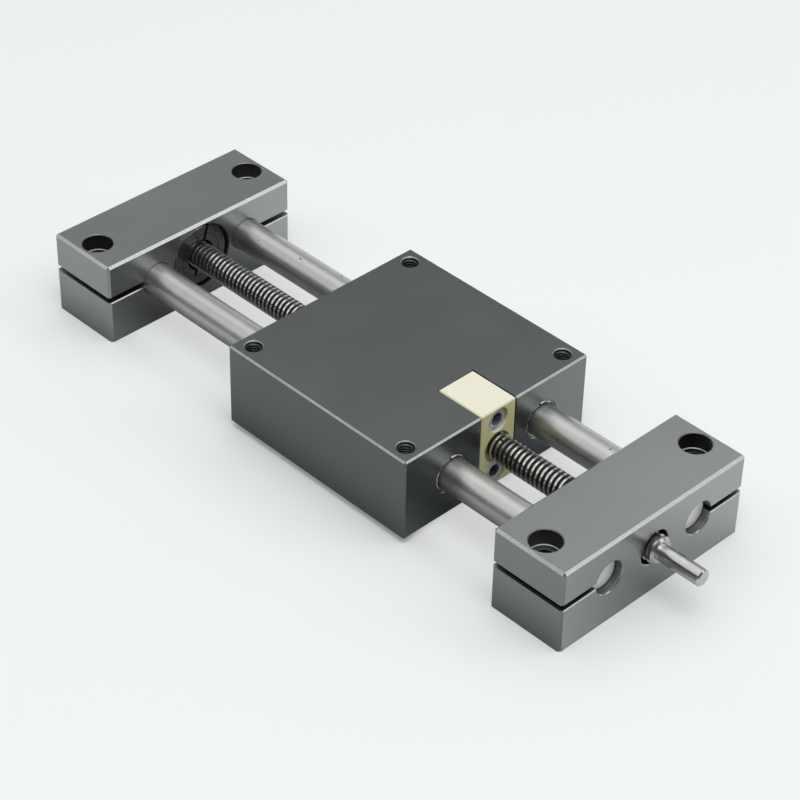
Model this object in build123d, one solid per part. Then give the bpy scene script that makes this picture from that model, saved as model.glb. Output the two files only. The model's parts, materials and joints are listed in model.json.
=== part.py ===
from build123d import *
import math
import os

# Linear positioning table: two end blocks, two guide shafts, a lead screw and a carriage.
# X runs along the shafts towards the drive journal, Y across them and Z up.
# The origin is midway between the four base holes, on the plane that the blocks rest on.
# All sizes are in millimetres.

# Whole table
table_width = 85.0
travel = 100.0
end_clearance = 1.5
rest_offset = 12.5
axis_height = 18.0
small_chamfer = 0.3

# End blocks
block_length = 30.0
block_height = 32.0
block_chamfer = 0.9
base_hole_edge = 7.5
base_hole_diameter = 6.6
base_head_diameter = 11.0
base_head_depth = 6.4
clamp_slit_width = 2.2
screw_exit_clearance = 1.35

# Guide shafts
shaft_diameter = 12.0
shaft_spacing = 42.0
shaft_end_recess = 3.0
shaft_end_chamfer = 0.5

# Carriage
carriage_length = 85.0
carriage_height = 32.0
carriage_clearance = 2.0
carriage_chamfer = 0.6
table_hole_edge = 6.0
table_hole_diameter = 6.0
table_hole_depth = 14.0
table_hole_countersink = 0.5
drill_point_angle = 118.0
shaft_passage_clearance = 0.5
screw_passage_clearance = 1.05

# Bearing liners in the carriage
liner_wall = 1.0
liner_length = 28.0
liner_slit_width = 1.0
liner_rim_wall = 0.4
liner_rim_depth = 1.0
liner_rim_chamfer = 0.3
liner_notch_width = 0.4
liner_notch_depth = 1.2
liner_segment_count = 11
liner_turn = 8.0

# Ball bearings
bearing_bore = 10.0
bearing_outer_diameter = 22.0
bearing_width = 6.0
race_wall = 1.7
ball_diameter = 3.175
ball_count = 10
race_clearance = 0.06
cage_thickness = 1.4
cage_side = 0.6
cage_pocket_clearance = 0.1
shield_thickness = 0.3
shield_recess = 0.25
shield_gap = 0.3

# Lead screw with its trapezoidal thread
thread_fit = 0.05
thread_pitch = 2.0
thread_depth = 1.2
thread_flank_angle = 15.0
thread_overrun = 3.0
thread_far_recess = 3.0
thread_end_chamfer = 0.8
thread_end_step = 0.05
journal_diameter = 6.0
journal_length = 17.0
journal_chamfer = 0.5

# Drive nut and its screws
thread_backlash = 0.3
thread_crest_clearance = 0.3
nut_length = 20.0
nut_chamfer = 0.4
nut_width = 16.0
nut_side_clearance = 0.3
nut_entry_clearance = 0.85
nut_entry_depth = 1.0
nut_screw_wall = 0.4
nut_screw_diameter = 5.0
nut_screw_length = 25.0
nut_screw_clearance = 0.25
nut_hole_spare = 1.0
nut_head_diameter = 8.5
nut_head_height = 5.0
nut_head_clearance = 0.4
nut_head_recess = 0.8
nut_head_chamfer = 0.5
hex_across_flats = 4.0
hex_depth = 2.5

# Retaining rings
ring_shoulder = 2.0
ring_recess = 2.0
ring_thickness = 5.0
ring_boss_height = 1.25
ring_groove_width = 1.15
ring_slit_width = 1.2
ring_notch_reach = 2.4
ring_turn = 19.0
relief_clearance = 1.5

# Circlips on the screw
circlip_thickness = 1.0
circlip_height = 1.25
circlip_gap = 3.0
circlip_groove_depth = 0.15
circlip_groove_clearance = 0.1
circlip_end_clearance = 0.6

# Fits
seat_clearance = 0.02
running_clearance = 0.03

# Diameters that follow from the sizes above
thread_diameter = bearing_bore - 2 * thread_fit
screw_exit_diameter = thread_diameter + 2 * screw_exit_clearance
screw_passage_diameter = thread_diameter + 2 * screw_passage_clearance
circlip_diameter = thread_diameter + 2 * circlip_height
circlip_groove_diameter = thread_diameter - 2 * (thread_depth + circlip_groove_depth)
shaft_passage_diameter = shaft_diameter + 2 * shaft_passage_clearance
liner_outer_diameter = shaft_diameter + 2 * liner_wall
table_hole_mouth = table_hole_diameter + 2 * table_hole_countersink
inner_ring_diameter = bearing_bore + 2 * race_wall
outer_ring_opening = bearing_outer_diameter - 2 * race_wall
relief_diameter = inner_ring_diameter + 2 * relief_clearance
ring_diameter = bearing_outer_diameter + 2 * ring_shoulder
nut_entry_diameter = thread_diameter + 2 * nut_entry_clearance
nut_screw_hole = nut_screw_diameter + 2 * nut_screw_clearance
nut_head_pocket = nut_head_diameter + 2 * nut_head_clearance

# Places and lengths that follow from the sizes above
inner_face = (carriage_length + travel) / 2 + end_clearance
outer_face = inner_face + block_length
block_middle = inner_face + block_length / 2
base_hole_place = table_width / 2 - base_hole_edge
table_hole_place_x = carriage_length / 2 - table_hole_edge
table_hole_place_y = table_width / 2 - table_hole_edge
carriage_base = carriage_clearance
carriage_top = carriage_base + carriage_height
carriage_front = rest_offset + carriage_length / 2
carriage_back = rest_offset - carriage_length / 2
bearing_face = inner_face + ring_recess + ring_thickness
bearing_end = bearing_face + bearing_width
relief_depth = circlip_thickness + circlip_end_clearance
cage_width = ball_diameter + 2 * cage_side
nut_back = carriage_front - nut_length
nut_head_seat = carriage_front - nut_head_recess - nut_head_height
nut_screw_tip = nut_head_seat - nut_screw_length
nut_screw_offset = (nut_entry_diameter + nut_head_pocket) / 2 + nut_screw_wall
thread_end = outer_face + thread_overrun
thread_start = -outer_face + thread_far_recess
pitch_circle_radius = (inner_ring_diameter + outer_ring_opening) / 4
root_radius = thread_diameter / 2 - thread_depth
pitch_line_radius = thread_diameter / 2 - thread_depth / 2
flank_slope = math.tan(math.radians(thread_flank_angle))
drill_point_slope = 1 / math.tan(math.radians(drill_point_angle / 2))
above_all = carriage_top + carriage_height


def rod_x(diameter, start, end, y=0.0, z=axis_height):
    """Round bar along X between two stations."""
    bar = Cylinder(diameter / 2, end - start, rotation=(0, 90, 0))
    return Pos((start + end) / 2, y, z) * bar


def cone_x(diameter_start, diameter_end, start, end, y=0.0, z=axis_height):
    """Cone along X between two stations."""
    cone = Cone(diameter_start / 2, diameter_end / 2, end - start, rotation=(0, 90, 0))
    return Pos((start + end) / 2, y, z) * cone


def block_between(start, end, width, base, top):
    """Rectangular block centred on Y."""
    size = Box(end - start, width, top - base)
    return Pos((start + end) / 2, 0, (base + top) / 2) * size


# Thread
def helix_edge(radius, height):
    """One turn of a helix about Z that starts at the given height."""
    return Pos(0, 0, height) * Edge.make_helix(thread_pitch, thread_pitch, radius)


def thread_profile(root, crest, groove_width):
    """Radius and height of the corners of one pitch, for a groove width at the pitch line."""
    half_floor = groove_width / 2 - (pitch_line_radius - root) * flank_slope
    half_mouth = groove_width / 2 + (crest - pitch_line_radius) * flank_slope
    return [
        (root, -half_floor),
        (root, half_floor),
        (crest, half_mouth),
        (crest, thread_pitch - half_mouth),
        (root, thread_pitch - half_floor),
    ]


def end_faces(profile, level):
    """The stepped spiral faces that close a threaded bar at one end."""
    radius, height = profile[0]
    height += level
    core = Edge.make_line((0, 0, height), (0, 0, height + thread_pitch))
    spiral = Face.make_surface_from_curves(core, helix_edge(radius, height))
    corners = [(r, 0, z + level) for r, z in profile]
    outline = [(0, 0, height), *corners, (0, 0, height + thread_pitch)]
    step = Face(Wire.make_polygon(outline, close=True))
    return [spiral, step]


def threaded_bar(profile, start, end):
    """Solid bar with a real thread along X, cut square at both ends."""
    first_turn = math.floor(start / thread_pitch) - 2
    last_turn = math.ceil(end / thread_pitch) + 2
    faces = end_faces(profile, first_turn * thread_pitch)
    faces += end_faces(profile, last_turn * thread_pitch)
    for turn in range(first_turn, last_turn):
        edges = [helix_edge(r, z + turn * thread_pitch) for r, z in profile]
        for lower, upper in zip(edges, edges[1:]):
            faces.append(Face.make_surface_from_curves(lower, upper))
    bar = Solid(Shell(faces))
    bar = split(bar, Plane((0, 0, start)), keep=Keep.TOP)
    bar = split(bar, Plane((0, 0, end)), keep=Keep.BOTTOM)
    return Pos(0, 0, axis_height) * Rot(0, 90, 0) * bar


# End blocks
def base_hole(y):
    """Counterbored hole for a base screw, with a broken edge at its mouth."""
    through = Cylinder(base_hole_diameter / 2, 2 * block_height)
    head = Cylinder(base_head_diameter / 2, base_head_depth, align=(Align.CENTER, Align.CENTER, Align.MAX))
    mouth = Cone(
        base_head_diameter / 2,
        base_head_diameter / 2 + small_chamfer,
        small_chamfer,
        align=(Align.CENTER, Align.CENTER, Align.MAX),
    )
    place = Pos(block_middle, y, block_height)
    return [place * through, place * head, place * mouth]


def shaft_bore(y):
    """Bore for a guide shaft through an end block, with both edges broken."""
    bore = shaft_diameter + 2 * seat_clearance
    wide = bore + 2 * small_chamfer
    return [
        rod_x(bore, inner_face, outer_face, y),
        cone_x(wide, bore, inner_face, inner_face + small_chamfer, y),
        cone_x(bore, wide, outer_face - small_chamfer, outer_face, y),
    ]


def clamp_slit(side):
    """Saw cut from the side of the block into the shaft bore."""
    half = clamp_slit_width / 2
    mouth = half + small_chamfer
    corners = [
        (inner_face, mouth),
        (inner_face + small_chamfer, half),
        (outer_face - small_chamfer, half),
        (outer_face, mouth),
        (outer_face, -mouth),
        (outer_face - small_chamfer, -half),
        (inner_face + small_chamfer, -half),
        (inner_face, -mouth),
    ]
    section = Plane.XZ * make_face(Polyline(*corners, close=True))
    depth = table_width / 2 - shaft_spacing / 2
    cut = extrude(section, amount=depth)
    middle = side * (shaft_spacing / 2 + depth / 2)
    return Pos(0, middle + depth / 2, axis_height) * cut


def bearing_pocket():
    """Stepped bore for the ring, the bearing and the screw."""
    exit_mouth = screw_exit_diameter + 2 * small_chamfer
    return [
        rod_x(ring_diameter, inner_face, bearing_face),
        rod_x(bearing_outer_diameter + 2 * seat_clearance, inner_face, bearing_end),
        rod_x(relief_diameter, inner_face, bearing_end + relief_depth),
        rod_x(screw_exit_diameter, inner_face, outer_face),
        cone_x(screw_exit_diameter, exit_mouth, outer_face - small_chamfer, outer_face),
    ]


def end_block():
    """Block at the drive end; the far one is its mirror image."""
    block = block_between(inner_face, outer_face, table_width, 0, block_height)
    upright = block.edges().filter_by(Axis.Z)
    rim = block.faces().sort_by(Axis.Z)[-1].edges()
    block = chamfer(upright + rim, block_chamfer)
    cuts = bearing_pocket()
    for side in (-1, 1):
        cuts += base_hole(side * base_hole_place)
        cuts += shaft_bore(side * shaft_spacing / 2)
        cuts.append(clamp_slit(side))
    return block - cuts


def mirrored(piece):
    """The same piece at the far end."""
    return mirror(piece, about=Plane.YZ)


# Guide shafts
def guide_shaft(y):
    end = outer_face - shaft_end_recess
    shaft = rod_x(shaft_diameter, -end, end, y)
    rims = shaft.edges().filter_by(GeomType.CIRCLE)
    return chamfer(rims, shaft_end_chamfer)


# Lead screw
def circlip_groove(start):
    """Ring to cut a circlip groove through the thread."""
    end = start + circlip_thickness + circlip_groove_clearance
    return rod_x(2 * thread_diameter, start, end) - rod_x(circlip_groove_diameter, start, end)


def lead_screw():
    profile = thread_profile(root_radius, thread_diameter / 2, thread_pitch / 2)
    first = thread_start + thread_end_chamfer
    last = thread_end - thread_end_chamfer
    wide = thread_diameter - 2 * thread_end_step
    narrow = thread_diameter - 2 * thread_end_chamfer
    screw = threaded_bar(profile, first, last)
    screw += cone_x(narrow, wide, thread_start, first)
    screw += cone_x(wide, narrow, last, thread_end)
    journal = rod_x(journal_diameter, thread_end, thread_end + journal_length)
    tip = journal.edges().filter_by(GeomType.CIRCLE).sort_by(Axis.X)[-1]
    screw += chamfer(tip, journal_chamfer)
    screw -= circlip_groove(bearing_face - circlip_thickness - circlip_groove_clearance)
    screw -= circlip_groove(bearing_end)
    return screw


# Carriage
def table_hole(x, y):
    """Blind tapped hole, drawn at the nominal size of its thread, with a countersunk mouth."""
    radius = table_hole_diameter / 2
    on_top = (Align.CENTER, Align.CENTER, Align.MAX)
    hole = Cylinder(radius, table_hole_depth, align=on_top)
    mouth = Cone(radius, table_hole_mouth / 2, table_hole_countersink, align=on_top)
    point = Cone(0.0, radius, radius * drill_point_slope, align=on_top)
    place = Pos(x, y, carriage_top)
    return [place * hole, place * mouth, place * Pos(0, 0, -table_hole_depth) * point]


def liner_bore(y):
    """Stepped bore for a shaft and its two liners."""
    seat = liner_outer_diameter + 2 * seat_clearance
    wide = seat + 2 * small_chamfer
    return [
        rod_x(shaft_passage_diameter, carriage_back, carriage_front, y),
        rod_x(seat, carriage_back, carriage_back + liner_length, y),
        rod_x(seat, carriage_front - liner_length, carriage_front, y),
        cone_x(wide, seat, carriage_back, carriage_back + small_chamfer, y),
        cone_x(seat, wide, carriage_front - small_chamfer, carriage_front, y),
    ]


def carriage_block():
    block = block_between(carriage_back, carriage_front, table_width, carriage_base, carriage_top)
    block = chamfer(block.edges(), carriage_chamfer)
    cuts = [
        block_between(nut_back, carriage_front, nut_width + 2 * nut_side_clearance, 0, above_all),
        rod_x(screw_passage_diameter, carriage_back, carriage_front),
    ]
    for side in (-1, 1):
        cuts += liner_bore(side * shaft_spacing / 2)
        height = axis_height + side * nut_screw_offset
        hole_end = nut_screw_tip - nut_hole_spare
        cuts.append(rod_x(nut_screw_diameter + 2 * seat_clearance, hole_end, nut_back, 0, height))
        for end in (-1, 1):
            x = rest_offset + end * table_hole_place_x
            cuts += table_hole(x, side * table_hole_place_y)
    return block - cuts


# Bearing liners
def liner(y):
    """Slit sleeve at the carriage's drive side; small notches part its thin rim into equal segments."""
    back = carriage_front - liner_length
    sleeve = rod_x(liner_outer_diameter, back, carriage_front, y)
    rim = sleeve.edges().filter_by(GeomType.CIRCLE).sort_by(Axis.X)[-1]
    sleeve = chamfer(rim, liner_rim_chamfer)
    sleeve -= rod_x(shaft_diameter + 2 * running_clearance, back, carriage_front, y)
    rim_opening = liner_outer_diameter - 2 * liner_rim_wall
    sleeve -= rod_x(rim_opening, carriage_front - liner_rim_depth, carriage_front, y)
    slit = Box(2 * liner_length, liner_slit_width, liner_outer_diameter)
    notch = Box(2 * liner_notch_depth, liner_notch_width, liner_outer_diameter)
    reach = Pos(0, 0, liner_outer_diameter / 2)
    for index in range(liner_segment_count):
        angle = liner_turn + index * 360.0 / liner_segment_count
        cut = notch if index else slit
        sleeve -= Pos(carriage_front, y, axis_height) * Rot(angle, 0, 0) * reach * cut
    return sleeve


def far_liner(y):
    """The same sleeve at the carriage's other side."""
    return mirror(liner(y), about=Plane.YZ.offset(rest_offset))


# Drive nut and its screws
def drive_nut():
    nut = block_between(nut_back, carriage_front, nut_width, carriage_base, carriage_top)
    nut = chamfer(nut.edges(), nut_chamfer)
    core_radius = root_radius + thread_crest_clearance
    groove_radius = thread_diameter / 2 + thread_crest_clearance
    profile = thread_profile(core_radius, groove_radius, thread_pitch / 2 - thread_backlash)
    nut -= threaded_bar(profile, nut_back - thread_pitch, carriage_front + thread_pitch)
    nut -= rod_x(nut_entry_diameter, carriage_front - nut_entry_depth, carriage_front)
    for side in (-1, 1):
        height = axis_height + side * nut_screw_offset
        nut -= rod_x(nut_screw_hole, nut_back, carriage_front, 0, height)
        nut -= rod_x(nut_head_pocket, nut_head_seat, carriage_front, 0, height)
    return nut


def nut_screw(side):
    """Socket head screw that holds the nut in its pocket."""
    height = axis_height + side * nut_screw_offset
    top = nut_head_seat + nut_head_height
    head = rod_x(nut_head_diameter, nut_head_seat, top, 0, height)
    rim = head.edges().filter_by(GeomType.CIRCLE).sort_by(Axis.X)[-1]
    head = chamfer(rim, nut_head_chamfer)
    shank = rod_x(nut_screw_diameter, nut_screw_tip, nut_head_seat, 0, height)
    tip = shank.edges().filter_by(GeomType.CIRCLE).sort_by(Axis.X)[0]
    shank = chamfer(tip, journal_chamfer)
    hexagon = RegularPolygon(hex_across_flats / 2, 6, major_radius=False)
    socket = extrude(hexagon, amount=hex_depth)
    return head + shank - Pos(top, 0, height) * Rot(0, -90, 0) * socket


# Ball bearing
def race_groove():
    """Torus that leaves the ball track in both rings."""
    centre = (bearing_face + bearing_end) / 2
    track = Torus(pitch_circle_radius, ball_diameter / 2 + race_clearance, rotation=(0, 90, 0))
    return Pos(centre, 0, axis_height) * track


def bearing_outer_ring():
    ring = rod_x(bearing_outer_diameter, bearing_face, bearing_end)
    return ring - rod_x(outer_ring_opening, bearing_face, bearing_end) - race_groove()


def bearing_inner_ring():
    ring = rod_x(inner_ring_diameter, bearing_face, bearing_end)
    return ring - rod_x(bearing_bore, bearing_face, bearing_end) - race_groove()


def ball_places():
    """Centre of each ball, spaced evenly round the bearing."""
    centre = (bearing_face + bearing_end) / 2
    places = []
    for index in range(ball_count):
        angle = math.radians(index * 360.0 / ball_count)
        y = pitch_circle_radius * math.cos(angle)
        z = axis_height + pitch_circle_radius * math.sin(angle)
        places.append(Pos(centre, y, z))
    return places


def bearing_balls():
    return Compound([place * Solid.make_sphere(ball_diameter / 2) for place in ball_places()])


def bearing_cage():
    centre = (bearing_face + bearing_end) / 2
    start = centre - cage_width / 2
    end = centre + cage_width / 2
    middle = 2 * pitch_circle_radius
    cage = rod_x(middle + cage_thickness, start, end) - rod_x(middle - cage_thickness, start, end)
    pocket = Sphere(ball_diameter / 2 + cage_pocket_clearance)
    return cage - [place * pocket for place in ball_places()]


def bearing_shields():
    """The thin disc on each side of the bearing, held by the outer ring."""
    rim = outer_ring_opening - 2 * seat_clearance
    hole = inner_ring_diameter + 2 * shield_gap
    starts = (bearing_face + shield_recess, bearing_end - shield_recess - shield_thickness)
    discs = []
    for start in starts:
        end = start + shield_thickness
        discs.append(rod_x(rim, start, end) - rod_x(hole, start, end))
    return Compound([disc.solid() for disc in discs])


# Retaining ring
def retaining_ring():
    """Split ring in front of the bearing: slit on one side, with a hinge notch opposite."""
    front = inner_face + ring_recess
    boss_front = front - ring_boss_height
    boss = rod_x(ring_diameter - 2 * ring_groove_width, boss_front, front)
    rim = boss.edges().filter_by(GeomType.CIRCLE).sort_by(Axis.X)[0]
    ring = chamfer(rim, small_chamfer) + rod_x(ring_diameter - 2 * seat_clearance, front, bearing_face)
    ring -= rod_x(screw_passage_diameter, boss_front, bearing_face)
    ring -= rod_x(relief_diameter, bearing_face - relief_depth, bearing_face)
    depth = 2 * (ring_boss_height + ring_thickness)
    notch_reach = screw_passage_diameter / 2 + ring_notch_reach
    slit = Box(depth, ring_slit_width, ring_diameter, align=(Align.CENTER, Align.CENTER, Align.MIN))
    notch = Box(depth, ring_slit_width, notch_reach, align=(Align.CENTER, Align.CENTER, Align.MAX))
    return ring - Pos(front, 0, axis_height) * Rot(-ring_turn, 0, 0) * (slit + notch)


# Circlips
def circlip(start):
    """Open clip in its groove on the screw."""
    end = start + circlip_thickness
    clip = rod_x(circlip_diameter, start, end)
    clip -= rod_x(circlip_groove_diameter + 2 * seat_clearance, start, end)
    opening = Box(circlip_thickness, circlip_gap, circlip_diameter)
    return clip - Pos((start + end) / 2, 0, axis_height - circlip_diameter / 2) * opening


# The pieces, each under the name of its file
def all_pieces():
    left = -shaft_spacing / 2
    right = shaft_spacing / 2
    block = end_block()
    ring = retaining_ring()
    bearing = {
        "bearing_outer_ring": bearing_outer_ring(),
        "bearing_inner_ring": bearing_inner_ring(),
        "bearing_balls": bearing_balls(),
        "bearing_cage": bearing_cage(),
        "bearing_shields": bearing_shields(),
    }
    pieces = {
        "drive_end_block": block,
        "far_end_block": mirrored(block),
        "guide_shaft_left": guide_shaft(left),
        "guide_shaft_right": guide_shaft(right),
        "lead_screw": lead_screw(),
        "drive_circlip_inner": circlip(bearing_face - circlip_thickness),
        "drive_circlip_outer": circlip(bearing_end),
        "drive_retaining_ring": ring,
        "far_retaining_ring": mirrored(ring),
        "carriage_block": carriage_block(),
        "liner_left_drive": liner(left),
        "liner_right_drive": liner(right),
        "liner_left_far": far_liner(left),
        "liner_right_far": far_liner(right),
        "drive_nut": drive_nut(),
        "nut_screw_upper": nut_screw(1),
        "nut_screw_lower": nut_screw(-1),
    }
    for name, piece in bearing.items():
        pieces["drive_" + name] = piece
        pieces["far_" + name] = mirrored(piece)
    return pieces


os.makedirs("parts", exist_ok=True)
for name, piece in all_pieces().items():
    export_step(piece, os.path.join("parts", name + ".step"))
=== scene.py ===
import json
import math

import bpy
from mathutils import Matrix, Vector


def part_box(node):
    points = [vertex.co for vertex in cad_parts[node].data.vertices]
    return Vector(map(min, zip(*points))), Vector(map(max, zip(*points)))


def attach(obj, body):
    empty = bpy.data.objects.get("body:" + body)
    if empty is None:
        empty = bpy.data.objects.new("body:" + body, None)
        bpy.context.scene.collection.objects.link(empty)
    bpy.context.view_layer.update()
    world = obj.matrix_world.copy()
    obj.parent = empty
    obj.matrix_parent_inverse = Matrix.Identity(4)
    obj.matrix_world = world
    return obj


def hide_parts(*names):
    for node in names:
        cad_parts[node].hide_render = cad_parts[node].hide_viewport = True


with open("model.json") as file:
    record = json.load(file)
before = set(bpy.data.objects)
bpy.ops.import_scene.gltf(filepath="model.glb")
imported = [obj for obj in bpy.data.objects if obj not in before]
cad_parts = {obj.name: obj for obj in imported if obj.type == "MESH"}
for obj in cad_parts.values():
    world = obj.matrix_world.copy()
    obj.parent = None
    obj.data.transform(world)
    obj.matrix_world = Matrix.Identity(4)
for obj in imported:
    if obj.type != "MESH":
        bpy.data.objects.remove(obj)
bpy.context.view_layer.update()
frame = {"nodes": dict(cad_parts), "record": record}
NODES = frame["nodes"]
MOUNTS = {mount["name"]: mount for mount in frame["record"]["mounts"]}

MM = 0.001

# Camera, at the photograph's viewing angle
CAMERA_PLACE = Vector((0.4943, -0.4832, 0.5426))
CAMERA_AZIMUTH = 45.11
CAMERA_ELEVATION = 37.83
CAMERA_ROLL = 1.38
CAMERA_FOCAL = 114.6
CAMERA_SENSOR = 36.0
CAMERA_NEAREST = 0.01

# Places read from the frame
CARRIAGE_LOW, CARRIAGE_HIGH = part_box("carriage_block")
DRIVE_LOW, DRIVE_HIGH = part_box("drive_end_block")
SCREW_LOW, SCREW_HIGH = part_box("lead_screw")
RIGHT_SHAFT_LOW, RIGHT_SHAFT_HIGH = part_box("guide_shaft_right")
AXIS_HEIGHT = (SCREW_LOW.z + SCREW_HIGH.z) / 2
SHAFT_SIDE = (RIGHT_SHAFT_LOW.y + RIGHT_SHAFT_HIGH.y) / 2
BASE_HOLE_RADIUS = MOUNTS["base_bolts"]["dims"]["hole_r_mm"] * MM
TABLE_HOLE_RADIUS = MOUNTS["table_bolts"]["dims"]["hole_r_mm"] * MM

# Sizes of the part that the frame doesn't state
JOURNAL_LENGTH = 17.0 * MM
JOURNAL_START = SCREW_HIGH.x - JOURNAL_LENGTH
SCREW_THREAD_DEPTH = 1.2 * MM
HEAD_BORE_RADIUS = 5.5 * MM
HEAD_BORE_DEPTH = 6.4 * MM
HEAD_BORE_BEVEL = 0.3 * MM
TABLE_HOLE_BEVEL = 0.5 * MM

# Usual range of a noise, and depths of a surface's relief
NOISE_RANGE = (0.3, 0.7)
FINE_RELIEF = 0.01 * MM
DEEP_RELIEF = 0.02 * MM

# Colour sockets of a mix node, by number because other sockets have the same names
MIX_FIRST = 6
MIX_SECOND = 7
MIX_RESULT = 2

# Masks on the blocks and the carriage
BEVEL_REACH = 1.1 * MM
BEVEL_TILT = (0.35, 0.95)
BEVEL_UPWARD = 0.3
WALL_DEPTHS = (0.35 * MM, 1.2 * MM)
SHAFT_BORE_REACH = 6.5 * MM
HEAD_BORE_MOUTH = 5.82 * MM
HEAD_BORE_LIP_REACH = 0.26 * MM
HEAD_BORE_STEP_REACH = 0.25 * MM
TABLE_HOLE_MOUTH = 3.6 * MM
TABLE_HOLE_RIM_DEPTH = 0.2 * MM
TABLE_HOLE_RIM_REACH = 0.3 * MM


def linear(red, green, blue):
    """Colour as seen on a screen, from 0 to 255, turned into the shader's units."""
    parts = []
    for value in (red, green, blue):
        share = value / 255
        parts.append(share / 12.92 if share <= 0.04045 else ((share + 0.055) / 1.055) ** 2.4)
    return (*parts, 1.0)


# Colours
# Anodised colours: skin is the anodised tone, edge is a painted highlight for the upward bevels, and dark is
# painted shade inside bores, slits and pockets
BLOCK_COLOURS = {
    "skin": (linear(152, 155, 155), linear(158, 161, 161)),
    "edge": linear(178, 180, 180),
    "dark": linear(54, 56, 54),
}
# The carriage's colours hold the same painted highlight and painted shade
CARRIAGE_COLOURS = {
    "skin": (linear(114, 119, 119), linear(119, 124, 124)),
    "edge": linear(154, 156, 156),
    "dark": linear(44, 46, 45),
}
# Painted shade on the counterbores' lips; painted highlights on their steps, on the through holes' edges and
# on the tapped holes' bevels
HEAD_BORE_LIP_SHADE = linear(122, 124, 123)
HEAD_BORE_STEP_HIGHLIGHT = linear(232, 234, 232)
BASE_HOLE_EDGE_HIGHLIGHT = linear(170, 172, 170)
TABLE_HOLE_RIM_HIGHLIGHT = linear(146, 148, 147)
SHAFT_TONES = (linear(180, 181, 178), linear(196, 197, 194))
SHAFT_FLECK = linear(70, 68, 64)
SHAFT_CUT_END = linear(236, 236, 233)
# Painted shade for the lead screw's grooves
SCREW_GROOVE_SHADE = linear(120, 118, 114)
SCREW_CREST_TONES = (linear(178, 178, 176), linear(206, 206, 204))
# Cream plastic, with a painted lit tone for its top and a painted shaded tone for its sides
CREAM_LIT_TOP = linear(229, 226, 208)
CREAM_SHADED_SIDE = linear(220, 218, 164)
CREAM_MARKS = linear(214, 208, 178)
CREAM_SPECKS = linear(170, 160, 120)
BLACK_STEEL_TONES = (linear(42, 44, 43), linear(146, 148, 146))
BEARING_TONES = (linear(196, 196, 198), linear(222, 222, 224))
LINER_TONES = (linear(130, 130, 127), linear(220, 219, 214))
# Dark tones that paint shade on the threads inside the tapped holes
HOLE_THREAD_SHADE_TONES = (linear(38, 40, 40), linear(76, 79, 78))
PLATED_TONES = (linear(216, 218, 222), linear(246, 247, 249))
# Painted shade with a bluish painted reflection, for the screws' sockets
SOCKET_SHADE_TONE = linear(104, 110, 126)
FLOOR_TONES = (linear(237, 239, 240), linear(238, 240, 241))
SKY_COLOUR = (0.99, 1.0, 1.0, 1.0)


class Nodes:
    """Small helper that builds a tree of shader nodes."""

    def __init__(self, tree):
        self.tree = tree
        self.places = self.add("ShaderNodeTexCoord")

    def add(self, kind, **settings):
        node = self.tree.nodes.new(kind)
        for key, value in settings.items():
            setattr(node, key, value)
        return node

    def feed(self, socket, value):
        """Gives a socket a number, a colour or the output of another node."""
        if isinstance(value, bpy.types.NodeSocket):
            self.tree.links.new(value, socket)
        else:
            socket.default_value = value

    def compute(self, operation, first, second=0.0):
        node = self.add("ShaderNodeMath", operation=operation)
        self.feed(node.inputs[0], first)
        self.feed(node.inputs[1], second)
        return node.outputs[0]

    def chain(self, operation, first, *others):
        for value in others:
            first = self.compute(operation, first, value)
        return first

    def plus(self, *values):
        return self.chain("ADD", *values)

    def minus(self, first, second):
        return self.compute("SUBTRACT", first, second)

    def times(self, *values):
        return self.chain("MULTIPLY", *values)

    def most(self, *values):
        return self.chain("MAXIMUM", *values)

    def least(self, *values):
        return self.chain("MINIMUM", *values)

    def above(self, value, limit):
        return self.compute("GREATER_THAN", value, limit)

    def below(self, value, limit):
        return self.compute("LESS_THAN", value, limit)

    def absolute(self, value):
        return self.compute("ABSOLUTE", value)

    def length(self, first, second):
        squares = self.plus(self.times(first, first), self.times(second, second))
        return self.compute("SQRT", squares)

    def weighed(self, first, second, share):
        """Sum of two values, of which the first counts by the share and the second by the rest."""
        return self.plus(self.times(first, share), self.times(second, 1 - share))

    def spread(self, value, low_in, high_in, low_out, high_out, smooth=False):
        """Maps a value from one range to another and stops at the ends."""
        node = self.add("ShaderNodeMapRange")
        if smooth:
            node.interpolation_type = "SMOOTHSTEP"
        for socket, number in zip(node.inputs, (value, low_in, high_in, low_out, high_out)):
            self.feed(socket, number)
        return node.outputs["Result"]

    def contrast(self, noise, low_out=0.0, high_out=1.0):
        """Stretches the usual range of a noise."""
        return self.spread(noise, *NOISE_RANGE, low_out, high_out)

    def choose(self, mask, outside, inside):
        """One value where the mask is 0 and another where it is 1."""
        return self.spread(mask, 0.0, 1.0, outside, inside)

    def mix(self, share, first, second):
        """Blend of two colours."""
        node = self.add("ShaderNodeMix", data_type="RGBA")
        self.feed(node.inputs["Factor"], share)
        self.feed(node.inputs[MIX_FIRST], first)
        self.feed(node.inputs[MIX_SECOND], second)
        return node.outputs[MIX_RESULT]

    def scaled(self, vector, factor):
        node = self.add("ShaderNodeVectorMath", operation="SCALE")
        self.feed(node.inputs[0], vector)
        self.feed(node.inputs["Scale"], factor)
        return node.outputs[0]

    def split(self, vector):
        node = self.add("ShaderNodeSeparateXYZ")
        self.feed(node.inputs[0], vector)
        return node.outputs

    def join(self, x, y=0.0, z=0.0):
        node = self.add("ShaderNodeCombineXYZ")
        for socket, value in zip(node.inputs, (x, y, z)):
            self.feed(socket, value)
        return node.outputs[0]

    def place(self):
        return self.places.outputs["Object"]

    def normal(self):
        return self.split(self.places.outputs["Normal"])

    def stretched_place(self, factor):
        """Place for a noise whose grain runs round the X axis."""
        x, y, z = self.split(self.place())
        return self.join(self.times(x, factor), y, z)

    def noise(self, vector, scale, detail=2.0, roughness=0.5):
        node = self.add("ShaderNodeTexNoise")
        self.feed(node.inputs["Vector"], vector)
        node.inputs["Scale"].default_value = scale
        node.inputs["Detail"].default_value = detail
        node.inputs["Roughness"].default_value = roughness
        return node.outputs["Fac"]


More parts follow.
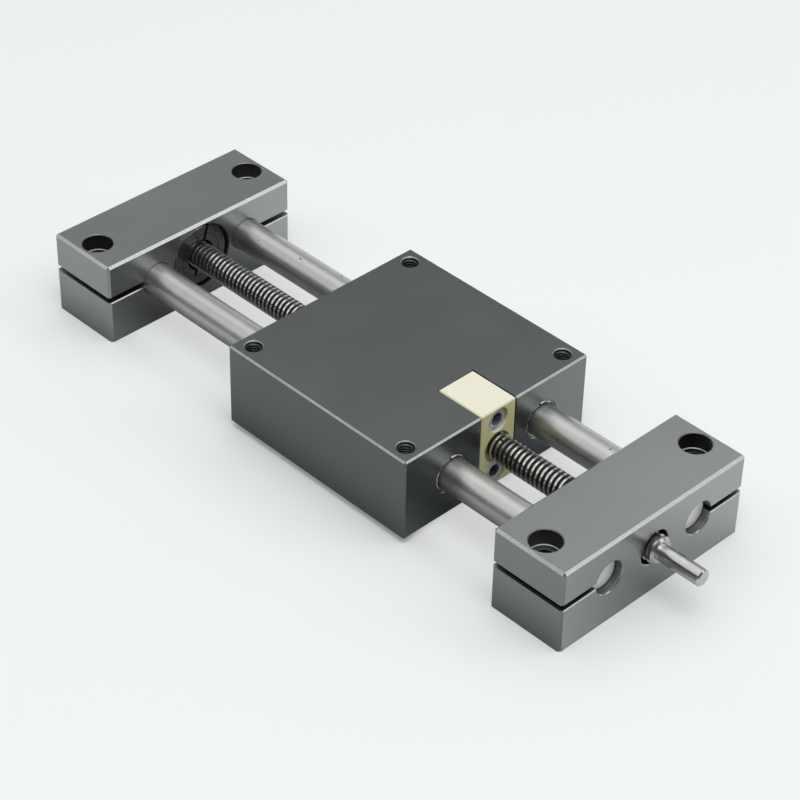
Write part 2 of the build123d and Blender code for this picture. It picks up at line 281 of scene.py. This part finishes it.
class Shader(Nodes):
    """A node material on one Principled surface."""

    def __init__(self, name):
        self.material = bpy.data.materials.new(name)
        self.material.use_nodes = True
        super().__init__(self.material.node_tree)
        self.surface = self.tree.nodes["Principled BSDF"]

    def colour(self, value):
        self.feed(self.surface.inputs["Base Color"], value)

    def metal(self, value):
        self.feed(self.surface.inputs["Metallic"], value)

    def roughness(self, value):
        self.feed(self.surface.inputs["Roughness"], value)

    def bump(self, height, strength, distance):
        node = self.add("ShaderNodeBump")
        node.inputs["Strength"].default_value = strength
        node.inputs["Distance"].default_value = distance
        self.feed(node.inputs["Height"], height)
        self.feed(self.surface.inputs["Normal"], node.outputs[0])

    def axis_radius(self, side=0.0, height=AXIS_HEIGHT):
        """Place along X, and distance from a line along X."""
        x, y, z = self.split(self.place())
        return x, self.length(self.minus(y, side), self.minus(z, height))

    def hole_radius(self, holes):
        """Distance from the nearest of the holes that stand in a rectangle about a centre line."""
        x, y, _ = self.split(self.place())
        middle, half_x, half_y = holes
        along = self.minus(self.absolute(self.minus(x, middle)), half_x)
        across = self.minus(self.absolute(y), half_y)
        return self.length(along, across)


def hole_rectangle(mount):
    """Middle along X and half the spacings of a mount's holes."""
    dims = MOUNTS[mount]["dims"]
    middle = MOUNTS[mount]["pos_m"][0]
    return middle, dims["spacing_x_mm"] / 2 * MM, dims["spacing_y_mm"] / 2 * MM


# Anodised aluminium
ANODISED_METAL = 0.92
ANODISED_ROUGHNESS = (0.29, 0.31)
CLOUD_SHARE = 0.5
# Noise range and shares that break the painted bevel highlight into patches
HIGHLIGHT_PATCH_NOISE = (0.3, 0.6)
HIGHLIGHT_PATCH_SHARES = (0.6, 1.0)
BEVEL_POLISH = 0.06
WALL_ROUGHENING = 0.15
# Spread of the painted shade on the inner walls, and how much of the skin tone the shaft bores' walls keep
WALL_CLOUDS = (0.4, 0.6)
WALL_SKIN_SHARES = (0.0, 0.3)
BORE_SKIN_SHARE = 0.55


def box_depths(shader, low, high):
    """How deep a point lies below the nearer face of each pair of the block's outer faces."""
    depths = []
    for place, floor, ceiling in zip(shader.split(shader.place()), low, high):
        off_centre = shader.absolute(shader.minus(place, (floor + ceiling) / 2))
        depths.append(shader.minus((ceiling - floor) / 2, off_centre))
    return depths


def upper_bevels(shader, depths):
    """Mask of the slanted, upward-facing bevels that frame the top face and the lips of the slits, where a
    highlight is painted.
    """
    least_tilt, most_tilt = BEVEL_TILT
    masks = []
    for depth, slant in zip(depths, shader.normal()):
        tilt = shader.absolute(slant)
        slanted = shader.times(shader.above(tilt, least_tilt), shader.below(tilt, most_tilt))
        masks.append(shader.times(shader.below(depth, BEVEL_REACH), slanted))
    upward = shader.above(shader.normal()["Z"], BEVEL_UPWARD)
    return shader.times(shader.most(*masks), upward)


def inner_walls(shader, depths, holes, mouth):
    """Mask of the bores, slits and pockets, which lie inside the block's box, and of the holes' mouths, where
    shade is painted.
    """
    inside = shader.spread(shader.least(*depths), *WALL_DEPTHS, 0.0, 1.0)
    return shader.most(inside, shader.below(shader.hole_radius(holes), mouth))


def shaft_bores(shader):
    """Mask of the walls of the two shaft bores."""
    _, y, z = shader.split(shader.place())
    off_shaft = shader.length(shader.minus(shader.absolute(y), SHAFT_SIDE), shader.minus(z, AXIS_HEIGHT))
    return shader.below(off_shaft, SHAFT_BORE_REACH)


def rim(shader, holes, radius, height, reach):
    """Mask of the surface that lies close to a circle round each hole."""
    _, _, z = shader.split(shader.place())
    off_circle = shader.length(shader.minus(shader.hole_radius(holes), radius), shader.minus(z, height))
    return shader.below(off_circle, reach)


def anodised(name, node, holes, mouth, rims, skin, edge, dark):
    """Satin anodised aluminium with a painted highlight on its upward bevels, and painted shade inside its
    bores and slits.
    """
    shader = Shader(name)
    clouds = shader.noise(shader.place(), scale=45.0, detail=4.0, roughness=0.55)
    grain = shader.noise(shader.place(), scale=5200.0, detail=2.0, roughness=0.6)
    # Noise that breaks the painted bevel highlight into patches
    bevel_patches = shader.noise(shader.place(), scale=900.0, detail=3.0, roughness=0.6)
    tone = shader.mix(shader.contrast(shader.weighed(clouds, grain, CLOUD_SHARE)), *skin)

    depths = box_depths(shader, *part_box(node))
    inside = inner_walls(shader, depths, holes, mouth)
    bevel = shader.times(upper_bevels(shader, depths), shader.minus(1.0, inside))
    # Painted highlight on the upward bevels, in patches
    patchy_highlight = shader.spread(bevel_patches, *HIGHLIGHT_PATCH_NOISE, *HIGHLIGHT_PATCH_SHARES)
    outer = shader.mix(shader.times(bevel, patchy_highlight), tone, edge)

    # Painted shade inside the bores, slits and pockets, lighter on the walls of the shaft bores
    walls = shader.mix(shader.spread(clouds, *WALL_CLOUDS, *WALL_SKIN_SHARES), dark, tone)
    bore_wall = shader.mix(BORE_SKIN_SHARE, dark, skin[1])
    walls = shader.mix(shaft_bores(shader), walls, bore_wall)
    # Rings of painted shade and painted highlight round the holes
    for radius, height, reach, light in rims:
        walls = shader.mix(rim(shader, holes, radius, height, reach), walls, light)
    shader.colour(shader.mix(inside, outer, walls))

    rough = shader.minus(shader.contrast(clouds, *ANODISED_ROUGHNESS), shader.times(bevel, BEVEL_POLISH))
    shader.roughness(shader.plus(rough, shader.times(inside, WALL_ROUGHENING)))
    shader.metal(ANODISED_METAL)
    shader.bump(grain, strength=0.3, distance=FINE_RELIEF)
    return shader.material


# Ground steel of the guide shafts
SHAFT_METAL = 0.95
SHAFT_ROUGHNESS = (0.33, 0.39)
SHAFT_RING_STRETCH = 30.0
SHAFT_RING_SHARE = 0.5
FLECK_SOFTNESS = 0.02
FLECK_STRENGTH = 0.75
CUT_END_FACING = 0.9
CUT_END_METAL = 0.5
CUT_END_ROUGHENING = 0.2


def ground_steel(name, fleck_level):
    """Ground guide shaft: fine rings round it, a faint mottle, a few dark flecks and bright cut ends."""
    shader = Shader(name)
    rings = shader.noise(shader.stretched_place(SHAFT_RING_STRETCH), scale=320.0, detail=3.0, roughness=0.6)
    mottle = shader.noise(shader.place(), scale=260.0, detail=3.0, roughness=0.6)
    spots = shader.noise(shader.place(), scale=330.0, detail=1.0)
    blend = shader.weighed(rings, mottle, SHAFT_RING_SHARE)
    ground = shader.mix(shader.contrast(blend), *SHAFT_TONES)
    flecks = shader.spread(spots, fleck_level, fleck_level + FLECK_SOFTNESS, 0.0, FLECK_STRENGTH)
    flecked = shader.mix(flecks, ground, SHAFT_FLECK)
    cut_end = shader.above(shader.absolute(shader.normal()["X"]), CUT_END_FACING)
    shader.colour(shader.mix(cut_end, flecked, SHAFT_CUT_END))
    rough = shader.contrast(blend, *SHAFT_ROUGHNESS)
    shader.roughness(shader.plus(rough, shader.times(cut_end, CUT_END_ROUGHENING)))
    shader.metal(shader.choose(cut_end, SHAFT_METAL, CUT_END_METAL))
    shader.bump(blend, strength=0.3, distance=FINE_RELIEF)
    return shader.material


# Rolled steel of the lead screw
SCREW_METAL = 0.96
GROOVE_ROUGHNESS = 0.34
CREST_ROUGHNESS = 0.2
CREST_MOTTLE = 0.3
CREST_EDGE = (0.5, 1.05)
JOURNAL_POLISH = 0.03
JOURNAL_RING_STRETCH = 20.0
LAST_TURN_START = JOURNAL_START - 4.5 * MM
LAST_TURN_END = JOURNAL_START - 4.0 * MM
LAST_TURN_BRIGHTNESS = 0.8


def thread_steel(name, root, crest):
    """Rolled thread: painted shade in the grooves, wide bright crests, and a polished last turn and journal
    that are left without that shade.
    """
    shader = Shader(name)
    x, radius = shader.axis_radius()
    mottle = shader.noise(shader.place(), scale=700.0, detail=3.0, roughness=0.6)
    rings = shader.noise(shader.join(shader.times(x, JOURNAL_RING_STRETCH)), scale=400.0)
    height = shader.spread(radius, root, crest, 0.0, 1.0)
    # Height over the thread's root with a noise, which sets where the painted groove shade ends
    noisy_height = shader.plus(height, shader.times(mottle, CREST_MOTTLE))
    edge = shader.spread(noisy_height, *CREST_EDGE, 0.0, 1.0, smooth=True)
    journal = shader.above(x, JOURNAL_START)
    last_turn = shader.spread(x, LAST_TURN_START, LAST_TURN_END, 0.0, LAST_TURN_BRIGHTNESS)
    bright = shader.most(journal, last_turn, edge)
    # Painted shade darkens the grooves; the crests, the last turn and the journal keep the bright tone
    shader.colour(shader.mix(bright, SCREW_GROOVE_SHADE, shader.mix(mottle, *SCREW_CREST_TONES)))
    rough = shader.choose(bright, GROOVE_ROUGHNESS, CREST_ROUGHNESS)
    shader.roughness(shader.minus(rough, shader.times(journal, JOURNAL_POLISH)))
    shader.metal(SCREW_METAL)
    shader.bump(shader.plus(rings, mottle), strength=0.2, distance=FINE_RELIEF)
    return shader.material


# Cream plastic of the nut
CREAM_ROUGHNESS = (0.48, 0.6)
CREAM_TOP_FACING = (0.5, 0.9)
MARK_STRETCH = 8.0
MARK_STRENGTH = 0.12
SPECK_NOISE = (0.66, 0.74)
SPECK_STRENGTH = 0.25
SUBSURFACE_WEIGHT = 0.12
SUBSURFACE_RADIUS = (1.0, 0.9, 0.6)
SUBSURFACE_SCALE = 1.0 * MM


def cream_plastic(name):
    """Machined cream plastic, painted paler on its top face as if lit and yellower on its sides as if shaded,
    with faint tool marks and specks.
    """
    shader = Shader(name)
    marks = shader.noise(shader.stretched_place(MARK_STRETCH), scale=900.0)
    specks = shader.spread(shader.noise(shader.place(), scale=1500.0), *SPECK_NOISE, 0.0, SPECK_STRENGTH)
    # Painted light: upward faces get the pale lit tone, the others the yellower shaded tone
    top = shader.spread(shader.normal()["Z"], *CREAM_TOP_FACING, 0.0, 1.0)
    base = shader.mix(top, CREAM_SHADED_SIDE, CREAM_LIT_TOP)
    marked = shader.mix(shader.contrast(marks, 0.0, MARK_STRENGTH), base, CREAM_MARKS)
    shader.colour(shader.mix(specks, marked, CREAM_SPECKS))
    shader.roughness(shader.contrast(marks, *CREAM_ROUGHNESS))
    shader.surface.inputs["Subsurface Weight"].default_value = SUBSURFACE_WEIGHT
    shader.surface.inputs["Subsurface Radius"].default_value = SUBSURFACE_RADIUS
    shader.surface.inputs["Subsurface Scale"].default_value = SUBSURFACE_SCALE
    shader.bump(marks, strength=0.25, distance=DEEP_RELIEF)
    return shader.material


# Turned rings, liners and hole threads
TURNED_METAL = 0.9
TURNED_LINE_SHARE = 0.75
TURNED_ROUGHNESS_REACH = 0.05


def turned_metal(name, tones, roughness, rings_per_metre, side=0.0):
    """Turned surface: concentric tool marks round a line along X."""
    shader = Shader(name)
    _, radius = shader.axis_radius(side)
    outward = shader.join(shader.times(radius, rings_per_metre))
    lines = shader.noise(outward, scale=1.0, detail=3.0, roughness=0.7)
    mottle = shader.noise(shader.place(), scale=800.0)
    blend = shader.weighed(lines, mottle, TURNED_LINE_SHARE)
    smoothest = roughness - TURNED_ROUGHNESS_REACH
    roughest = roughness + TURNED_ROUGHNESS_REACH
    shader.colour(shader.mix(shader.contrast(blend), *tones))
    shader.roughness(shader.contrast(blend, smoothest, roughest))
    shader.metal(TURNED_METAL)
    shader.bump(blend, strength=0.35, distance=DEEP_RELIEF)
    return shader.material


# Plated steel of the nut's screws
PLATED_METAL = 0.8
PLATED_ROUGHNESS = (0.16, 0.26)
SOCKET_METAL = 0.3


def plated_steel(name, height, socket_start, socket_radius):
    """Bright plated screw with its socket darkened by painted shade and tinted blue-grey by a painted
    reflection.
    """
    shader = Shader(name)
    x, radius = shader.axis_radius(height=height)
    mottle = shader.noise(shader.place(), scale=900.0, detail=3.0, roughness=0.6)
    socket = shader.times(shader.below(radius, socket_radius), shader.below(x, socket_start))
    # Painted shade with a bluish painted reflection in the socket
    shader.colour(shader.mix(socket, shader.mix(mottle, *PLATED_TONES), SOCKET_SHADE_TONE))
    shader.roughness(shader.contrast(mottle, *PLATED_ROUGHNESS))
    shader.metal(shader.choose(socket, PLATED_METAL, SOCKET_METAL))
    shader.bump(mottle, strength=0.2, distance=FINE_RELIEF)
    return shader.material


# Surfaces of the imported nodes
SHARP_ANGLE = math.radians(28)


def smooth(node):
    """Smooth shading on round faces, with sharp edges where faces meet at an angle."""
    node.data.shade_smooth()
    node.data.set_sharp_from_angle(angle=SHARP_ANGLE)


def paint(material, *names):
    for name in names:
        node = NODES[name]
        node.data.materials.clear()
        node.data.materials.append(material)


def paint_blocks():
    top = DRIVE_HIGH.z
    step = top - HEAD_BORE_DEPTH
    half_bevel = HEAD_BORE_BEVEL / 2
    # Painted shade on the counterbore's lip, and painted highlights on its step and on the through hole's
    # edge
    rims = (
        (HEAD_BORE_RADIUS + half_bevel, top - half_bevel, HEAD_BORE_LIP_REACH, HEAD_BORE_LIP_SHADE),
        (HEAD_BORE_RADIUS, step, HEAD_BORE_STEP_REACH, HEAD_BORE_STEP_HIGHLIGHT),
        (BASE_HOLE_RADIUS, step, HEAD_BORE_STEP_REACH, BASE_HOLE_EDGE_HIGHLIGHT),
    )
    holes = hole_rectangle("base_bolts")
    for name in ("drive_end_block", "far_end_block"):
        paint(anodised("anodised_" + name, name, holes, HEAD_BORE_MOUTH, rims, **BLOCK_COLOURS), name)


def paint_carriage():
    name = "carriage_block"
    holes = hole_rectangle("table_bolts")
    radius = TABLE_HOLE_RADIUS + TABLE_HOLE_BEVEL / 2
    # Painted highlight on the bevel of each tapped hole
    rims = ((radius, CARRIAGE_HIGH.z - TABLE_HOLE_RIM_DEPTH, TABLE_HOLE_RIM_REACH, TABLE_HOLE_RIM_HIGHLIGHT),)
    paint(anodised("anodised_carriage", name, holes, TABLE_HOLE_MOUTH, rims, **CARRIAGE_COLOURS), name)


def paint_guides():
    paint(ground_steel("shaft_left_steel", fleck_level=0.80), "guide_shaft_left")
    paint(ground_steel("shaft_right_steel", fleck_level=0.76), "guide_shaft_right")
    for side, hand in ((-SHAFT_SIDE, "left"), (SHAFT_SIDE, "right")):
        name = "liner_" + hand
        liner = turned_metal(name, LINER_TONES, roughness=0.22, rings_per_metre=7000.0, side=side)
        paint(liner, name + "_drive", name + "_far")


def paint_drive():
    crest = (SCREW_HIGH.z - SCREW_LOW.z) / 2
    paint(thread_steel("thread_steel", crest - SCREW_THREAD_DEPTH, crest), "lead_screw")
    paint(cream_plastic("cream_plastic"), "drive_nut")
    dark = turned_metal("black_turned_steel", BLACK_STEEL_TONES, roughness=0.24, rings_per_metre=1200.0)
    paint(dark, "drive_retaining_ring", "far_retaining_ring", "drive_circlip_inner", "drive_circlip_outer")
    bright = turned_metal("bearing_steel", BEARING_TONES, roughness=0.2, rings_per_metre=6000.0)
    for bearing in ("drive_bearing_", "far_bearing_"):
        for part in ("outer_ring", "inner_ring", "balls", "cage", "shields"):
            paint(bright, bearing + part)


def closed_piece(name, rows, material, body):
    """Piece drawn through rows of points and capped at both ends, which rides on a body."""
    size = len(rows[0])
    last = size * (len(rows) - 1)
    faces = [tuple(range(size)), tuple(reversed(range(last, last + size)))]
    for here in range(0, last, size):
        beyond = here + size
        for corner in range(size):
            following = (corner + 1) % size
            faces.append((here + corner, beyond + corner, beyond + following, here + following))
    mesh = bpy.data.meshes.new(name)
    mesh.from_pydata([point for row in rows for point in row], [], faces)
    mesh.update()
    piece = bpy.data.objects.new(name, mesh)
    bpy.context.scene.collection.objects.link(piece)
    piece.data.materials.append(material)
    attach(piece, body)
    return piece


# Threads in the tapped holes of the carriage
THREAD_PITCH = 1.0 * MM
THREAD_STEPS = 40
THREAD_CREST_RADIUS = 2.46 * MM
THREAD_CREST_WIDTH = 0.16 * MM
THREAD_ROOT_WIDTH = 0.86 * MM
THREAD_BACK = 0.03 * MM
THREAD_TOP = 0.55 * MM
THREAD_DEPTH = 13.0 * MM


def hole_thread(name, x, y):
    """Helical ridge of a tapped hole, a closed strip that stands out of the bore's wall."""
    outer = TABLE_HOLE_RADIUS + THREAD_BACK
    profile = [
        (outer, -THREAD_ROOT_WIDTH / 2),
        (THREAD_CREST_RADIUS, -THREAD_CREST_WIDTH / 2),
        (THREAD_CREST_RADIUS, THREAD_CREST_WIDTH / 2),
        (outer, THREAD_ROOT_WIDTH / 2),
    ]
    turns = (THREAD_DEPTH - THREAD_TOP - THREAD_ROOT_WIDTH) / THREAD_PITCH
    start = CARRIAGE_HIGH.z - THREAD_TOP - THREAD_ROOT_WIDTH / 2
    rows = []
    for step in range(int(turns * THREAD_STEPS) + 1):
        across = math.cos(2 * math.pi * step / THREAD_STEPS)
        along = math.sin(2 * math.pi * step / THREAD_STEPS)
        level = start - THREAD_PITCH * step / THREAD_STEPS
        rows.append([(x + radius * across, y - radius * along, level + height) for radius, height in profile])
    # The threads get dark tones as painted shade inside the holes
    steel = turned_metal(name + "_steel", HOLE_THREAD_SHADE_TONES, roughness=0.35, rings_per_metre=5000.0)
    closed_piece(name, rows, steel, "carriage")


def all_hole_threads():
    middle, half_x, half_y = hole_rectangle("table_bolts")
    for x, end in ((middle - half_x, "far"), (middle + half_x, "drive")):
        for y, hand in ((-half_y, "left"), (half_y, "right")):
            hole_thread(f"hole_thread_{hand}_{end}", x, y)


# Socket head screws of the nut, with knurled heads and threaded shanks
SCREW_STEPS = 96
HEAD_HEIGHT = 5.0 * MM
HEAD_BEVEL = 0.5 * MM
HEAD_FOOT = 0.4 * MM
KNURL_STEPS = 4
KNURL_DEPTH = 0.16 * MM
SOCKET_APOTHEM = 2.0 * MM
SOCKET_DEPTH = 2.5 * MM
SOCKET_MOUTH = 2.5 * MM
SOCKET_BEVEL = 0.2 * MM
SOCKET_DARK_START = 0.05 * MM
SHANK_RADIUS = 2.48 * MM
SHANK_PITCH = 0.8 * MM
SHANK_GROOVE = 0.4 * MM
SHANK_ROWS = 5
SHANK_TIP = 0.2 * MM


def zigzag(turns):
    """Falls from 1 to 0 and rises to 1 again in each whole turn."""
    return abs(2 * (turns % 1) - 1)


def socket_radius(angle):
    """Distance from the axis to the wall of the hexagon socket."""
    sixth = math.pi / 3
    return SOCKET_APOTHEM / math.cos(angle % sixth - sixth / 2)


def screw_profile(head, low, top):
    """Stations and radii from the socket's floor, over the head and down the shank."""
    seat = top - HEAD_HEIGHT
    knurl = [head - KNURL_DEPTH * zigzag(step / KNURL_STEPS) for step in range(SCREW_STEPS)]
    hexagon = [socket_radius(step * 2 * math.pi / SCREW_STEPS) for step in range(SCREW_STEPS)]
    rings = [
        (top - SOCKET_DEPTH, hexagon),
        (top - SOCKET_BEVEL, hexagon),
        (top, [SOCKET_MOUTH] * SCREW_STEPS),
        (top, [head - HEAD_BEVEL] * SCREW_STEPS),
        (top - HEAD_BEVEL / 2, knurl),
        (seat + HEAD_FOOT, knurl),
        (seat, [head - HEAD_FOOT] * SCREW_STEPS),
        (seat, [SHANK_RADIUS] * SCREW_STEPS),
    ]
    rows = int((seat - low - 2 * SHANK_PITCH) / SHANK_PITCH * SHANK_ROWS)
    for row in range(rows + 1):
        x = seat - SHANK_PITCH - row * SHANK_PITCH / SHANK_ROWS
        turns = [row / SHANK_ROWS + step / SCREW_STEPS for step in range(SCREW_STEPS)]
        rings.append((x, [SHANK_RADIUS - SHANK_GROOVE * zigzag(turn) for turn in turns]))
    rings.append((low, [SHANK_RADIUS - SHANK_GROOVE - SHANK_TIP] * SCREW_STEPS))
    return rings


def socket_screw(name, node):
    """Turned and knurled screw in place of the plain one, at the same place and size."""
    low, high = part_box(node)
    head = (high.y - low.y) / 2
    height = (low.z + high.z) / 2
    angles = [step * 2 * math.pi / SCREW_STEPS for step in range(SCREW_STEPS)]
    rows = []
    for x, radii in screw_profile(head, low.x, high.x):
        row = []
        for angle, radius in zip(angles, radii):
            row.append((x, radius * math.cos(angle), height + radius * math.sin(angle)))
        rows.append(row)
    steel = plated_steel(name + "_steel", height, high.x - SOCKET_DARK_START, SOCKET_MOUTH)
    piece = closed_piece(name, rows, steel, "carriage")
    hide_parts(node)
    smooth(piece)


# Floor: how much of its tone is flat, to the camera and in reflections
FLOOR_HALF = 15.0
FLOOR_ROUGHNESS = 0.9
FLOOR_SPECULAR = 0.1
FLAT_SHARE_SEEN = 0.15
# More flat tone between the shafts, as painted light over the shade there
FLAT_SHARE_BETWEEN = 0.62
FLAT_SHARE_MIRRORED = 0.05
BETWEEN_SHAFTS = (28.0 * MM, 44.0 * MM)

# Floor: how light it is in reflections, with painted shade, and over which stretches that changes
MIRRORED_LEFT = 0.6
MIRRORED_FAR_LEFT = 0.8
MIRRORED_RIGHT = 1.05
MIRRORED_CONTACT = 0.5
MIRRORED_BETWEEN = 0.42
MIRRORED_UNDER_SHAFT = 0.3
MIRRORED_UNDER_JOURNAL = 0.55
CONTACT_REACH = 14.0 * MM
JOURNAL_REACH = 50.0 * MM
SHAFT_SHADE_SHIFT = 3.0 * MM
SHAFT_SHADE = (3.0 * MM, 14.0 * MM)
RIGHT_OPENING = (26.0 * MM, 44.0 * MM)
LEFT_BORDER = (-1.0 * MM, 4.0 * MM)

# Studio: distance at which reflections leave the floor for it, and its brightness
SHEET_RADII = (0.30, 0.60)
HORIZON_STRENGTH = 0.87
BACK_STRENGTH = 0.08
FRONT_STRENGTH = 0.10
OVERHEAD_STRENGTH = 1.1

# Studio: turns, from -1 at its back to 1 at its front, and rises, from 0 at the horizon to 1 overhead
STUDIO_TURN = (-0.4, 0.6)
OVERHEAD_RISE = (0.54, 0.81)

# Studio: rises at which the pale glow of the horizon starts to fade and ends, at its back and its front
GLOW_TURN = (-0.6, 0.0)
GLOW_START = (0.40, 0.01)
GLOW_END = (0.50, 0.04)


def frontness(nodes, x, y):
    """From -1 straight behind the object to 1 straight in front of it."""
    forward = nodes.times(nodes.minus(x, y), math.sqrt(0.5))
    return nodes.compute("DIVIDE", forward, nodes.length(x, y))


def mirrored_light(shader, x, y):
    """How light the floor is in reflections, as painted shade: darker to the left, close to the object and
    under its shafts.
    """
    left = CARRIAGE_LOW.y
    sideways = shader.spread(x, -DRIVE_LOW.x, -DRIVE_LOW.x / 2, MIRRORED_FAR_LEFT, MIRRORED_LEFT)
    contact = shader.spread(y, left - CONTACT_REACH, left, 1.0, MIRRORED_CONTACT)
    outer = shader.times(sideways, contact)

    off_shaft = shader.absolute(shader.plus(y, SHAFT_SIDE + SHAFT_SHADE_SHIFT))
    shaded = shader.spread(off_shaft, *SHAFT_SHADE, MIRRORED_UNDER_SHAFT, MIRRORED_BETWEEN, smooth=True)
    opened = shader.spread(y, *RIGHT_OPENING, 0.0, MIRRORED_RIGHT - MIRRORED_BETWEEN, smooth=True)
    between = shader.plus(shaded, opened)

    off_journal = shader.length(shader.minus(x, DRIVE_HIGH.x), y)
    before_drive = shader.spread(off_journal, 0.0, JOURNAL_REACH, MIRRORED_UNDER_JOURNAL, MIRRORED_RIGHT)
    past_drive = shader.spread(x, DRIVE_LOW.x, DRIVE_HIGH.x, 0.0, 1.0)
    right = shader.choose(past_drive, between, before_drive)
    border_start, border_end = LEFT_BORDER
    inside = shader.spread(y, left + border_start, left + border_end, 0.0, 1.0, smooth=True)
    return shader.choose(inside, outer, right)


def seen_share(shader, x, y):
    """How much of the floor's tone is flat to the camera, which is more between the shafts as painted light
    over the shade there.
    """
    off_middle = shader.absolute(y)
    share = shader.spread(off_middle, *BETWEEN_SHAFTS, FLAT_SHARE_BETWEEN, FLAT_SHARE_SEEN, smooth=True)
    between_blocks = shader.below(shader.absolute(x), (DRIVE_LOW.x + DRIVE_HIGH.x) / 2)
    return shader.choose(between_blocks, FLAT_SHARE_SEEN, share)


def floor_material():
    """Pale floor that keeps a soft shadow, with painted shade in reflections and painted light between the
    shafts. Reflections show the studio beyond it.
    """
    shader = Shader("pale_floor")
    x, y, _ = shader.split(shader.place())
    path = shader.add("ShaderNodeLightPath").outputs
    mirrored = shader.most(path["Is Glossy Ray"], path["Is Transmission Ray"])
    tone = shader.mix(shader.noise(shader.place(), scale=900.0), *FLOOR_TONES)
    # Reflections see the floor's tone darkened by painted shade
    tone = shader.scaled(tone, shader.choose(mirrored, 1.0, mirrored_light(shader, x, y)))
    shader.colour(tone)
    shader.roughness(FLOOR_ROUGHNESS)
    shader.surface.inputs["Specular IOR Level"].default_value = FLOOR_SPECULAR

    beyond = shader.spread(shader.length(x, y), *SHEET_RADII, 0.0, 1.0, smooth=True)
    room = shader.times(mirrored, beyond)
    front = frontness(shader, x, y)
    studio = shader.spread(front, *STUDIO_TURN, HORIZON_STRENGTH, FRONT_STRENGTH, smooth=True)
    flat = shader.add("ShaderNodeEmission")
    shader.feed(flat.inputs["Color"], tone)
    shader.feed(flat.inputs["Strength"], shader.choose(room, 1.0, studio))

    seen = shader.times(path["Is Camera Ray"], seen_share(shader, x, y))
    share = shader.most(shader.times(mirrored, FLAT_SHARE_MIRRORED), room, seen)
    blend = shader.add("ShaderNodeMixShader")
    shader.feed(blend.inputs["Fac"], share)
    shader.feed(blend.inputs[1], shader.surface.outputs[0])
    shader.feed(blend.inputs[2], flat.outputs[0])
    shader.feed(shader.tree.nodes["Material Output"].inputs["Surface"], blend.outputs[0])
    return shader.material


def make_floor():
    corners = ((-1, -1), (1, -1), (1, 1), (-1, 1))
    mesh = bpy.data.meshes.new("floor")
    mesh.from_pydata([(x * FLOOR_HALF, y * FLOOR_HALF, 0) for x, y in corners], [], [(0, 1, 2, 3)])
    floor = bpy.data.objects.new("floor", mesh)
    bpy.context.scene.collection.objects.link(floor)
    floor.data.materials.append(floor_material())


def make_world():
    """Studio light that is bright overhead, dim in front and pale just above the floor."""
    world = bpy.data.worlds.new("studio")
    bpy.context.scene.world = world
    world.use_nodes = True
    nodes = Nodes(world.node_tree)
    x, y, rise = nodes.split(nodes.places.outputs["Generated"])
    front = frontness(nodes, x, y)
    sides = nodes.spread(front, *STUDIO_TURN, BACK_STRENGTH, FRONT_STRENGTH, smooth=True)
    overhead = nodes.spread(rise, *OVERHEAD_RISE, sides, OVERHEAD_STRENGTH, smooth=True)
    glow_start = nodes.spread(front, *GLOW_TURN, *GLOW_START, smooth=True)
    glow_end = nodes.spread(front, *GLOW_TURN, *GLOW_END, smooth=True)
    strength = nodes.spread(rise, glow_start, glow_end, HORIZON_STRENGTH, overhead, smooth=True)
    background = world.node_tree.nodes["Background"]
    background.inputs["Color"].default_value = SKY_COLOUR
    nodes.feed(background.inputs["Strength"], strength)


# Softboxes: direction from the object, distance, side and power
SOFTBOXES = {
    "top_softbox": ((0.30, -0.15, 0.94), 1.30, 0.80, 5.0),
    "right_softbox": ((0.61, 0.55, 0.56), 1.35, 0.65, 2.0),
    "left_softbox": ((-0.56, -0.61, 0.55), 1.35, 0.55, 1.1),
    "overhead_softbox": ((-0.56, 0.12, 0.80), 1.30, 0.55, 0.4),
    "back_softbox": ((-0.25, 0.66, 0.71), 1.30, 0.40, 0.3),
}


def make_lamps():
    target = Vector((0.0, 0.0, AXIS_HEIGHT))
    for name, (direction, distance, side, power) in SOFTBOXES.items():
        data = bpy.data.lights.new(name, "AREA")
        data.shape = "SQUARE"
        data.size = side
        data.energy = power
        lamp = bpy.data.objects.new(name, data)
        bpy.context.scene.collection.objects.link(lamp)
        lamp.location = target + distance * Vector(direction).normalized()
        lamp.rotation_euler = (target - lamp.location).to_track_quat("-Z", "Y").to_euler()


def make_camera():
    data = bpy.data.cameras.new("camera")
    data.sensor_width = CAMERA_SENSOR
    data.lens = CAMERA_FOCAL
    data.clip_start = CAMERA_NEAREST
    camera = bpy.data.objects.new("camera", data)
    bpy.context.scene.collection.objects.link(camera)
    azimuth = math.radians(CAMERA_AZIMUTH)
    elevation = math.radians(CAMERA_ELEVATION)
    turn = Matrix.Rotation(azimuth, 3, "Z") @ Matrix.Rotation(math.pi / 2 - elevation, 3, "X")
    turn = turn @ Matrix.Rotation(math.radians(CAMERA_ROLL), 3, "Z")
    camera.matrix_world = Matrix.LocRotScale(CAMERA_PLACE, turn.to_quaternion(), None)
    bpy.context.scene.camera = camera


for node in NODES.values():
    smooth(node)
paint_blocks()
paint_carriage()
paint_guides()
paint_drive()
all_hole_threads()
socket_screw("socket_screw_upper", "nut_screw_upper")
socket_screw("socket_screw_lower", "nut_screw_lower")
make_floor()
make_world()
make_lamps()
make_camera()
bpy.context.scene.view_settings.view_transform = "Standard"
